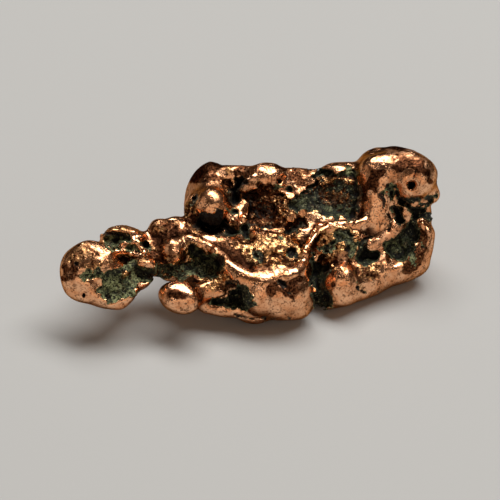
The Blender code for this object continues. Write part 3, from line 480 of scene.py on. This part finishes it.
# Grains of the finish: size in mm, detail, distortion. Salt, crumbs and scuffs are drawn coarser
# than the metal's own grain, so that they show.
GRAINS = {
    "mottle": (1.3, 5.0, 0.3),
    "salt": (0.24, 3.0, 0.0),
    "stains": (0.6, 5.0, 0.0),
    "crumbs": (0.20, 2.0, 0.0),
    "pore_patches": (1.2, 3.0, 0.0),
    "veins": (1.1, 4.0, 0.8),
    "vein_patches": (0.8, 3.0, 0.0),
    "dents": (0.75, 3.0, 0.0),
    "scuffs": (0.22, 3.0, 0.0),
    "patches": (0.9, 5.0, 0.0),
    "flakes": (0.25, 5.0, 0.8),
    "ochre": (0.7, 3.0, 0.0),
    "edge": (0.42, 5.0, 0.0),
}
PORE_SPACING = 0.46             # mm from pore to pore

# Settings of nodes: a map range with a smooth step, and a mix of two colours.
SMOOTH = {"interpolation_type": "SMOOTHSTEP"}
BLEND = {"data_type": "RGBA", "out": 2}

# The table, the camera and the lamps, in metres.
TABLE_HALF = 1.5
CAMERA_ELEVATION = math.radians(35)
CAMERA_AWAY = 0.45
SENSOR_WIDTH = 36               # in mm
FRAME_WIDTH = 62.5 * MM
FRAME_MIDDLE = np.array((0.0, -1.25, 0.0))      # on the face, in its own mm

# A wide softbox overhead and a little behind, and pale cards low in front and at the left: name,
# place, size, watts, tone.
LAMPS = [
    ("softbox", (0.17, 0.24, 0.88), (1.06, 0.46), 11.8, (1.0, 0.99, 0.975)),
    ("front_card", (0.08, -0.60, 0.24), (1.60, 0.48), 1.60, (1.0, 0.86, 0.72)),
    ("left_card", (-0.62, -0.06, 0.30), (0.50, 0.50), 0.34, (1.0, 0.88, 0.76)),
]
LAMP_TARGET = (0, 0, 0.006)


# ---------------------------------------------------------------- fields on the grid

def to_face(points):
    """World metres to the face's own millimetres."""
    return ((points / MM - FACE_ORIGIN) @ FACE_TURN).astype(np.float32)


def from_face(points):
    """The face's own millimetres to world metres."""
    return (points @ FACE_TURN.T + FACE_ORIGIN) * MM


def distance_field(obj):
    """Distances in mm from each grid point to the object's skin, below zero inside."""
    mesh = obj.data
    mesh.calc_loop_triangles()
    points = np.empty(3 * len(mesh.vertices), np.float32)
    mesh.vertices.foreach_get("co", points)
    corners = np.empty(3 * len(mesh.loop_triangles), np.int32)
    mesh.loop_triangles.foreach_get("vertices", corners)
    place = np.array(obj.matrix_world)
    points = points.reshape(-1, 3) @ place[:3, :3].T + place[:3, 3]
    points = ((to_face(points) - GRID_LOW) / CELL).astype(np.float32)
    grid = openvdb.FloatGrid.createLevelSetFromPolygons(
        points,
        triangles=corners.reshape(-1, 3).astype(np.uint32),
        transform=openvdb.createLinearTransform(voxelSize=1.0),
        halfWidth=BAND / CELL,
    )
    field = np.empty(GRID_SHAPE, np.float32)
    grid.copyToArray(field)
    return field * CELL


def blur(field, radius):
    """Gaussian blur over a radius in mm."""
    spread = radius / CELL
    reach = max(1, math.ceil(BLUR_REACH * spread))
    steps = np.arange(-reach, reach + 1)
    weights = np.exp(-0.5 * (steps / spread) ** 2)
    weights /= weights.sum()
    for axis in range(field.ndim):
        length = field.shape[axis]
        pad = [(reach, reach) if a == axis else (0, 0) for a in range(field.ndim)]
        wide = np.pad(field, pad, mode="edge")
        total = np.zeros_like(field)
        for step, weight in zip(steps + reach, weights):
            total += np.float32(weight) * wide[(slice(None),) * axis + (slice(step, step + length),)]
        field = total
    return field


def noise(size, seed, shape=GRID_SHAPE):
    """Smooth random field whose lumps are about `size` mm across, with a spread of about 1."""
    draws = np.random.default_rng(seed)
    coarse = [int(n * CELL / size) + 3 for n in shape]
    field = draws.standard_normal(coarse).astype(np.float32)
    for axis, length in enumerate(shape):
        place = np.arange(length) * CELL / size
        first = place.astype(int)
        t = (place - first).astype(np.float32)
        t = t * t * (3 - 2 * t)
        t = t.reshape([-1 if a == axis else 1 for a in range(len(shape))])
        field = np.take(field, first, axis) * (1 - t) + np.take(field, first + 1, axis) * t
    return field * np.float32(WAVE_SPREAD)


def waves(rows, shape=GRID_SHAPE):
    """Random waves laid over each other, in mm."""
    return sum(height * noise(size, seed, shape) for height, size, seed in rows)


def step_up(x, low, high):
    """0 up to low, 1 from high on, and a smooth step between them."""
    t = np.clip((x - low) / (high - low), 0, 1)
    return t * t * (3 - 2 * t)


def soft_min(a, b, melt):
    """The lesser of two fields, rounded where they are within `melt` mm of each other."""
    h = np.maximum(melt - np.abs(a - b), 0) / melt
    return np.minimum(a, b) - h * h * melt * 0.25


def near(centre, reach):
    """The part of the grid within reach of a point, as slices, with its U, V and W."""
    cuts = []
    for axis in range(3):
        low = int((centre[axis] - reach - GRID_LOW[axis]) / CELL)
        high = int((centre[axis] + reach - GRID_LOW[axis]) / CELL) + 2
        cuts.append(slice(max(low, 0), min(high, GRID_SHAPE[axis])))
    return tuple(cuts), U[cuts[0]][:, :, None], V[:, cuts[1]][:, :, None], W[:, :, cuts[2]]


def front_map(field):
    """W of the outermost skin over each (u, v), and FAR_BELOW where there is none."""
    inside = field < 0
    last = GRID_SHAPE[2] - 1 - np.argmax(inside[:, :, ::-1], axis=2)
    last = np.minimum(last, GRID_SHAPE[2] - 2)
    a = np.take_along_axis(field, last[:, :, None], 2)[:, :, 0]
    b = np.take_along_axis(field, last[:, :, None] + 1, 2)[:, :, 0]
    front = GRID_LOW[2] + CELL * (last + a / (a - b - 1e-6))
    return np.where(inside.any(axis=2), front, FAR_BELOW).astype(np.float32)


def front_at(front, u, v):
    """W of the outermost skin round one place, as the mean of nine grid points."""
    i = int(round((u - GRID_LOW[0]) / CELL))
    j = int(round((v - GRID_LOW[1]) / CELL))
    patch = front[i - 1:i + 2, j - 1:j + 2]
    return float(patch[patch > FAR_BELOW].mean())


def nearer(nearest, start, end):
    """Squared distances so far, or those to one more straight stretch where they are less."""
    (u0, v0), (u1, v1) = start, end
    du, dv = u1 - u0, v1 - v0
    t = np.clip(((U - u0) * du + (V - v0) * dv) / (du * du + dv * dv), 0, 1)
    return np.minimum(nearest, (U - u0 - t * du) ** 2 + (V - v0 - t * dv) ** 2)


def line_distance(points):
    """Distance in the face from each (u, v) to a line through points."""
    nearest = np.full(GRID_SHAPE[:2], FAR_OFF, np.float32)
    for start, end in zip(points, points[1:]):
        nearest = nearer(nearest, start, end)
    return np.sqrt(nearest)


def outline_distance(outline):
    """Distance in the face from each (u, v) to a closed outline, below zero inside it."""
    closed = outline + outline[:1]
    inside = np.zeros(GRID_SHAPE[:2], bool)
    for (u0, v0), (u1, v1) in zip(closed, closed[1:]):
        if v1 != v0:
            crossed = (V >= v0) != (V >= v1)
            inside ^= crossed & (U < u0 + (V - v0) * (u1 - u0) / (v1 - v0))
    return np.where(inside, -1, 1) * line_distance(closed)


# ---------------------------------------------------------------- the nugget's shape

def lay_ridges(field, front):
    """Ropes of metal, melted into the skin that they lie on."""
    for _, radius, sunk, points in RIDGES:
        line = [np.array((u, v, front_at(front, u, v) - sunk)) for u, v in points]
        for a, b in zip(line, line[1:]):
            cut, u, v, w = near((a + b) / 2, np.linalg.norm(b - a) / 2 + radius + MELT_ROOM)
            du, dv, dw = b - a
            t = (u - a[0]) * du + (v - a[1]) * dv + (w - a[2]) * dw
            t = np.clip(t / (du * du + dv * dv + dw * dw), 0, 1)
            away = (u - a[0] - t * du) ** 2 + (v - a[1] - t * dv) ** 2 + (w - a[2] - t * dw) ** 2
            rope = (np.sqrt(away) - radius).astype(np.float32)
            field[cut] = soft_min(field[cut], rope, RIDGE_MELT)


def lay_knobs(field, front):
    """Rounded knobs, melted into the skin that they stand on."""
    for _, (u0, v0), radii, sunk in KNOBS:
        w0 = front_at(front, u0, v0) - sunk
        cut, u, v, w = near((u0, v0, w0), max(radii) + MELT_ROOM)
        away = np.sqrt(((u - u0) / radii[0]) ** 2 + ((v - v0) / radii[1]) ** 2 + ((w - w0) / radii[2]) ** 2)
        knob = ((away - 1) * min(radii)).astype(np.float32)
        field[cut] = soft_min(field[cut], knob, KNOB_MELT)


def lower_front(field, front, depth):
    """Takes the outermost skin down by depth(u, v)."""
    floor = (front - depth)[:, :, None]
    touched = (depth > LEAST_DEPTH) & (front > FAR_BELOW)
    cut = np.where(touched[:, :, None], (W - floor) * WALL_SLOPE, FAR_BELOW).astype(np.float32)
    return -soft_min(-field, -cut, RECESS_MELT)


def sink(maps, away, size, deep, floor, dirt, tint):
    """A crack or a pit, `deep` mm into the face, with dark dirt held in it.

    The size is its half width, and the floor and the dirt's reach are shares of that.
    """
    maps["depth"] += deep * step_up(-away, -size, -size * floor)
    start, full, most = dirt
    held = step_up(-away, -size * start, -size * full)
    maps["mineral"] = np.maximum(maps["mineral"], most * held)
    maps["tint"] = np.maximum(maps["tint"], tint * held)


def face_maps():
    """What the regions, cracks and pits set over the face: a map of each property."""
    wander = waves(OUTLINE_WAVES, GRID_SHAPE[:2])
    maps = {name: np.zeros(GRID_SHAPE[:2], np.float32)
            for name in ("depth", "mineral", "tint", "brown", "grain", "dull")}
    for _, softness, sets, outline in REGIONS:
        away = outline_distance(outline) + wander
        for name, value in sets.items():
            if name == "depth":
                cover = step_up(-away, WALL_TOP, WALL_FOOT + WALL_LEAN * value)
            else:
                cover = step_up(-away, -EDGE_OUT * softness, EDGE_IN * softness)
            maps[name] += (value - maps[name]) * cover
    for half_width, deep, points in CRACKS:
        away = line_distance(points) + wander * CRACK_WANDER
        sink(maps, away, half_width, deep, CRACK_FLOOR, CRACK_DIRT, CRACK_TINT)
    for (u, v), radius, deep in PITS:
        away = np.sqrt((U - u) ** 2 + (V - v) ** 2) + wander * PIT_WANDER
        sink(maps, away, radius, deep, PIT_FLOOR, PIT_DIRT, PIT_TINT)
    return maps


def add_back_patches(maps, hollow, near_front):
    """Mineral in the hollows of the sides that the regions don't reach."""
    patch = step_up(waves(BACK_WAVES) + hollow, *BACK_HOLLOW) * (1 - near_front)
    for name, most in BACK_FINISH.items():
        maps[name] = np.maximum(maps[name], patch * most)


def nugget_fields(solid):
    """The finished distance field, and the fields that its finish is coloured by."""
    field = blur(distance_field(solid), FACET_MELT)
    field += waves(SKIN_WAVES) + SKIN_INSET
    lay_ridges(field, front_map(field))
    maps = face_maps()
    depth = maps.pop("depth")
    front = front_map(field)
    field = lower_front(field, front, depth)
    lay_knobs(field, front_map(field))
    floor = (front - depth)[:, :, None]
    near_front = step_up(W, floor - PAINT_ENDS, floor - PAINT_FADES)
    tint = maps.pop("tint")[:, :, None]
    maps = {name: values[:, :, None] * near_front for name, values in maps.items()}
    hollow = -blur(field, NOOK)
    add_back_patches(maps, hollow, near_front)
    crumbs = waves(CRUMB_WAVES) - np.abs(waves(CLEFT_WAVES)) + CRUMB_SINK
    field += maps["grain"] * crumbs * CRUMB_RELIEF
    height = FACE_TURN[2, 1] * V[:, :, None] + FACE_TURN[2, 2] * W + FACE_ORIGIN[2]
    field = np.maximum(field, -height)
    maps["rough"] = maps.pop("grain") / FULL_GRAIN
    maps["tint"] = np.broadcast_to(tint, GRID_SHAPE)
    maps["cavity"] = -blur(field, CAVITY)
    maps["nook"] = hollow
    return field, maps


def skin_of(field):
    """The surface where the field is zero: its points in metres, and its four-sided faces."""
    grid = openvdb.FloatGrid(BAND)
    grid.copyFromArray(np.clip(field, -BAND, BAND))
    points, quads = grid.convertToQuads(isovalue=0.0)
    return from_face(points * CELL + GRID_LOW), quads


def read_field(field, places):
    """Trilinear reading of a field at places given in grid steps."""
    first = np.clip(np.floor(places).astype(int), 0, np.array(GRID_SHAPE) - 2)
    t = (places - first).astype(np.float32)
    total = np.zeros(len(places), np.float32)
    for corner in itertools.product((0, 1), repeat=3):
        weight = np.ones(len(places), np.float32)
        for axis, side in enumerate(corner):
            weight *= t[:, axis] if side else 1 - t[:, axis]
        total += weight * field[tuple((first + corner).T)]
    return total


def thin_out(obj, most):
    """Brings the mesh down to a number of triangles."""
    obj.data.calc_loop_triangles()
    share = most / len(obj.data.loop_triangles)
    if share < 1:
        modifier = obj.modifiers.new("thin_out", "DECIMATE")
        modifier.ratio = share
        with bpy.context.temp_override(object=obj, active_object=obj):
            bpy.ops.object.modifier_apply(modifier=modifier.name)


def nugget(solid):
    """The finished nugget as one mesh that carries its colouring fields."""
    field, colours = nugget_fields(solid)
    points, quads = skin_of(field)
    mesh = bpy.data.meshes.new("nugget_skin")
    mesh.from_pydata(points.tolist(), [], quads.tolist())
    obj = bpy.data.objects.new("nugget_skin", mesh)
    bpy.context.scene.collection.objects.link(obj)
    thin_out(obj, MOST_TRIANGLES)
    places = np.empty(3 * len(mesh.vertices), np.float32)
    mesh.vertices.foreach_get("co", places)
    places = (to_face(places.reshape(-1, 3)) - GRID_LOW) / CELL
    for name, values in colours.items():
        layer = mesh.attributes.new(name, "FLOAT", "POINT")
        layer.data.foreach_set("value", read_field(values, places))
    mesh.shade_smooth()
    return obj


# ---------------------------------------------------------------- materials

def colour(hex_code):
    """sRGB hex to linear, with alpha."""
    parts = [int(hex_code[i:i + 2], 16) / 255 for i in (1, 3, 5)]
    linear = [p / 12.92 if p <= 0.04045 else ((p + 0.055) / 1.055) ** 2.4 for p in parts]
    return (*linear, 1.0)


def add(tree, kind, inputs=(), out=0, **settings):
    """Adds a node with its settings and gives one of its outputs.

    The inputs come in the node's own order, or as a dict by name or place. Each is either a value
    or the output that it is linked from.
    """
    node = tree.nodes.new("ShaderNode" + kind)
    for name, value in settings.items():
        setattr(node, name, value)
    given = inputs.items() if isinstance(inputs, dict) else enumerate(inputs)
    for place, value in given:
        if isinstance(value, bpy.types.NodeSocket):
            tree.links.new(value, node.inputs[place])
        else:
            node.inputs[place].default_value = value
    return node.outputs[out] if node.outputs else node


def coat(tree, below, paint, pattern, low, high, most=1.0):
    """Lays paint over the colour below: none where the pattern is low, `most` where it is high."""
    cover = add(tree, "MapRange", (pattern, low, high, 0.0, most), **SMOOTH)
    paint = colour(paint) if isinstance(paint, str) else paint
    return add(tree, "Mix", {0: cover, 6: below, 7: paint}, **BLEND)


def worn_copper(tree, grains, marks):
    """The metal: satin and warm where it is worn, dark red-brown oxide where it isn't.

    Fine salt and mottle keep the worn metal from looking plated. Pores and hair cracks hold black
    dirt. The feet of the hollows are darkened near black, partly dirt and partly painted shade,
    which draws each lump's edge.
    """
    mottle, salt, crumbs = grains["mottle"], grains["salt"], grains["crumbs"]
    bare = coat(tree, colour("#FEC092"), "#EAA271", mottle, 0.36, 0.66)
    bare = coat(tree, bare, "#F2BA76", marks["rough"], 0.15, 0.5, 0.7)
    bare = coat(tree, bare, "#8F5436", salt, 0.52, 0.68, 0.70)
    tarnish = coat(tree, colour("#24110A"), "#75482E", salt, 0.38, 0.62)
    tarnish = coat(tree, tarnish, "#28130A", marks["brown"], 1.0, 1.7, 0.7)

    # Oxide: where the region is brown, in hollows, in stains and between the crumbs.
    oxide = add(tree, "Math", (marks["brown"], 1.6), operation="MULTIPLY")
    crumb_tops = add(tree, "MapRange", (crumbs, 0.40, 0.62, 0.6, -0.8), **SMOOTH)
    for part in (
        add(tree, "MapRange", (marks["cavity"], -0.03, 0.11, -0.50, 0.85), **SMOOTH),
        add(tree, "MapRange", (grains["stains"], 0.28, 0.72, -0.45, 0.45), **SMOOTH),
        add(tree, "Math", (marks["rough"], crumb_tops), operation="MULTIPLY"),
    ):
        oxide = add(tree, "Math", (oxide, part), operation="ADD")
    oxide = add(tree, "MapRange", (oxide, 0.0, 0.85), **SMOOTH)
    metal = add(tree, "Mix", {0: oxide, 6: bare, 7: tarnish}, **BLEND)

    # Near black in small and large hollows: partly dirt, partly painted shade.
    hollow_dirt_and_shade = [add(tree, "MapRange", (marks[name], low, high, 0.0, 0.85), **SMOOTH)
             for name, low, high in (("cavity", 0.03, 0.13), ("nook", 0.0, 0.15))]
    hollow_dirt_and_shade = add(tree, "Math", hollow_dirt_and_shade, operation="MAXIMUM")
    metal = add(tree, "Mix", {0: hollow_dirt_and_shade, 6: metal, 7: colour("#22110A")}, **BLEND)

    # Pores and hair cracks, in patches, filled with dirt.
    line = add(tree, "Math", (grains["veins"], 0.5), operation="SUBTRACT")
    line = add(tree, "Math", (line, 0.0), operation="ABSOLUTE")
    dirt = []
    for pattern, low, high, patches, none_at, full_at in (
        (grains["pores"], 0.35, 0.17, "pore_patches", 0.43, 0.57),
        (line, 0.034, 0.010, "vein_patches", 0.46, 0.58),
    ):
        pattern = add(tree, "MapRange", (pattern, low, high), **SMOOTH)
        patches = add(tree, "MapRange", (grains[patches], none_at, full_at), **SMOOTH)
        dirt.append(add(tree, "Math", (pattern, patches), operation="MULTIPLY"))
    dirt = add(tree, "Math", dirt, operation="MAXIMUM")
    filled = add(tree, "Math", (dirt, 0.75), operation="MULTIPLY")
    metal = add(tree, "Mix", {0: filled, 6: metal, 7: colour("#26140B")}, **BLEND)

    roughness = add(tree, "MapRange", (mottle, 0.3, 0.7, 0.17, 0.27), **SMOOTH)
    for part in (
        add(tree, "Math", (marks["dull"], 0.22), operation="MULTIPLY"),
        add(tree, "MapRange", (oxide, 0.1, 0.9, 0.0, 0.12), **SMOOTH),
    ):
        roughness = add(tree, "Math", (roughness, part), operation="ADD")

    skin = {}
    for height, strength, deep_mm in (
        (grains["dents"], 0.5, 0.06),
        (grains["scuffs"], 0.6, 0.032),
        (dirt, 0.6, -0.04),
        (crumbs, marks["rough"], 0.14),
    ):
        relief = {"Height": height, "Strength": strength, "Distance": deep_mm * MM}
        skin = {"Normal": add(tree, "Bump", {**relief, **skin})}
    return add(tree, "BsdfPrincipled", {"Base Color": metal, "Roughness": roughness, "Metallic": 1.0,
                                        "Specular Tint": colour("#8E7A6A"), **skin})


def mineral_crust(tree, grains, marks):
    """The residue: a matt, crumbly crust that is olive, black-green, umber, red-brown or black.

    Dark gaps and pale flakes give it a broken grain, and it is painted darker towards the foot of a
    hollow, as shade. Its black is dirt in pits and cracks and painted shade in the cave and the
    crevice.
    """
    patches, flakes, tint = grains["patches"], grains["flakes"], marks["tint"]
    olive = coat(tree, colour("#3A4126"), "#9EA472", patches, 0.38, 0.62)
    black_green = coat(tree, colour("#10120B"), "#343A25", patches, 0.40, 0.66)
    umber = coat(tree, colour("#22140C"), "#7A5234", patches, 0.38, 0.64)
    crust = add(tree, "Mix", {0: tint, 6: olive, 7: black_green}, **BLEND)
    for paint, pattern, low, high, most in (
        (umber, tint, 1.15, 1.75, 1.0),
        ("#2C130A", tint, 1.95, 2.3, 0.85),
        ("#55402A", grains["ochre"], 0.54, 0.68, 0.6),
        ("#0A0906", flakes, 0.50, 0.42, 1.0),
        ("#A8A67E", flakes, 0.57, 0.68, 0.7),
        # near black: dirt in pits and cracks, painted shade in the cave and the crevice
        ("#0A0504", tint, 2.4, 2.9, 0.9),
        # painted shade towards the foot of a hollow
        ("#050403", marks["cavity"], 0.06, 0.26, 0.9),
    ):
        crust = coat(tree, crust, paint, pattern, low, high, most)
    relief = add(tree, "Bump", {"Height": flakes, "Strength": 1.0, "Distance": 0.16 * MM})
    return add(tree, "BsdfPrincipled", {"Base Color": crust, "Roughness": 0.6,
                                        "Specular IOR Level": 0.22, "Normal": relief})


def native_copper():
    """Tumbled native copper with mineral left in its hollows.

    The marks are what the shape says of each place, and the grains are the finish's own patterns.
    """
    material = bpy.data.materials.new("native_copper_tumbled")
    material.use_nodes = True
    tree = material.node_tree
    tree.nodes.clear()
    marks = {name: add(tree, "Attribute", out="Fac", attribute_name=name)
             for name in ("mineral", "rough", "brown", "tint", "dull", "cavity", "nook")}
    place = add(tree, "TexCoord", out="Object")
    grains = {"pores": add(tree, "TexVoronoi", {"Vector": place, "Scale": 1 / (PORE_SPACING * MM)})}
    for name, (size_mm, detail, distortion) in GRAINS.items():
        grains[name] = add(tree, "TexNoise", {"Vector": place, "Scale": 1 / (size_mm * MM),
                                              "Detail": detail, "Distortion": distortion})
    # The crust's edge is broken up by its own grains.
    edge = add(tree, "MapRange", (grains["edge"], 0.2, 0.8, -0.50, 0.50), **SMOOTH)
    lies = add(tree, "Math", (marks["mineral"], edge), operation="ADD")
    cover = add(tree, "MapRange", (lies, 0.45, 0.57), **SMOOTH)
    layers = cover, worn_copper(tree, grains, marks), mineral_crust(tree, grains, marks)
    add(tree, "OutputMaterial", {"Surface": add(tree, "MixShader", layers)})
    return material


def pale_card():
    """Matt pale card: an even, slightly warm grey."""
    material = bpy.data.materials.new("pale_card")
    material.use_nodes = True
    shader = material.node_tree.nodes["Principled BSDF"]
    shader.inputs["Base Color"].default_value = colour("#B4B4B2")
    shader.inputs["Roughness"].default_value = 0.9
    return material


# ---------------------------------------------------------------- the scene

def show_nugget():
    obj = nugget(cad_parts[NODE])
    obj.data.materials.append(native_copper())
    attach(obj, "root")
    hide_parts(NODE)


def table_top():
    mesh = bpy.data.meshes.new("table_top")
    corners = [(x * TABLE_HALF, y * TABLE_HALF, 0) for x, y in ((-1, -1), (1, -1), (1, 1), (-1, 1))]
    mesh.from_pydata(corners, [], [(0, 1, 2, 3)])
    mesh.materials.append(pale_card())
    obj = bpy.data.objects.new("table_top", mesh)
    bpy.context.scene.collection.objects.link(obj)


def aim(obj, target):
    obj.rotation_euler = (Vector(target) - obj.location).to_track_quat("-Z", "Y").to_euler()


def camera():
    """Looks down on the broad face; the frame's width is held at the nugget's middle."""
    data = bpy.data.cameras.new("camera")
    obj = bpy.data.objects.new("camera", data)
    bpy.context.scene.collection.objects.link(obj)
    middle = Vector(from_face(FRAME_MIDDLE))
    towards = Vector((0, -math.cos(CAMERA_ELEVATION), math.sin(CAMERA_ELEVATION)))
    obj.location = middle + CAMERA_AWAY * towards
    aim(obj, middle)
    data.sensor_width = SENSOR_WIDTH
    data.lens = SENSOR_WIDTH * CAMERA_AWAY / FRAME_WIDTH
    data.clip_start = 0.01
    bpy.context.scene.camera = obj


def dim_room():
    """A dim, warm room round the lamps."""
    world = bpy.data.worlds.new("dim_room")
    world.use_nodes = True
    background = world.node_tree.nodes["Background"]
    background.inputs["Color"].default_value = colour("#6A5544")
    background.inputs["Strength"].default_value = 0.24
    bpy.context.scene.world = world
    bpy.context.scene.view_settings.view_transform = "Standard"


def lamps():
    for name, place, size, watts, tone in LAMPS:
        light = bpy.data.lights.new(name, "AREA")
        light.shape = "RECTANGLE"
        light.size, light.size_y = size
        light.energy = watts
        light.color = tone
        obj = bpy.data.objects.new(name, light)
        bpy.context.scene.collection.objects.link(obj)
        obj.location = place
        aim(obj, LAMP_TARGET)


show_nugget()
table_top()
camera()
dim_room()
lamps()
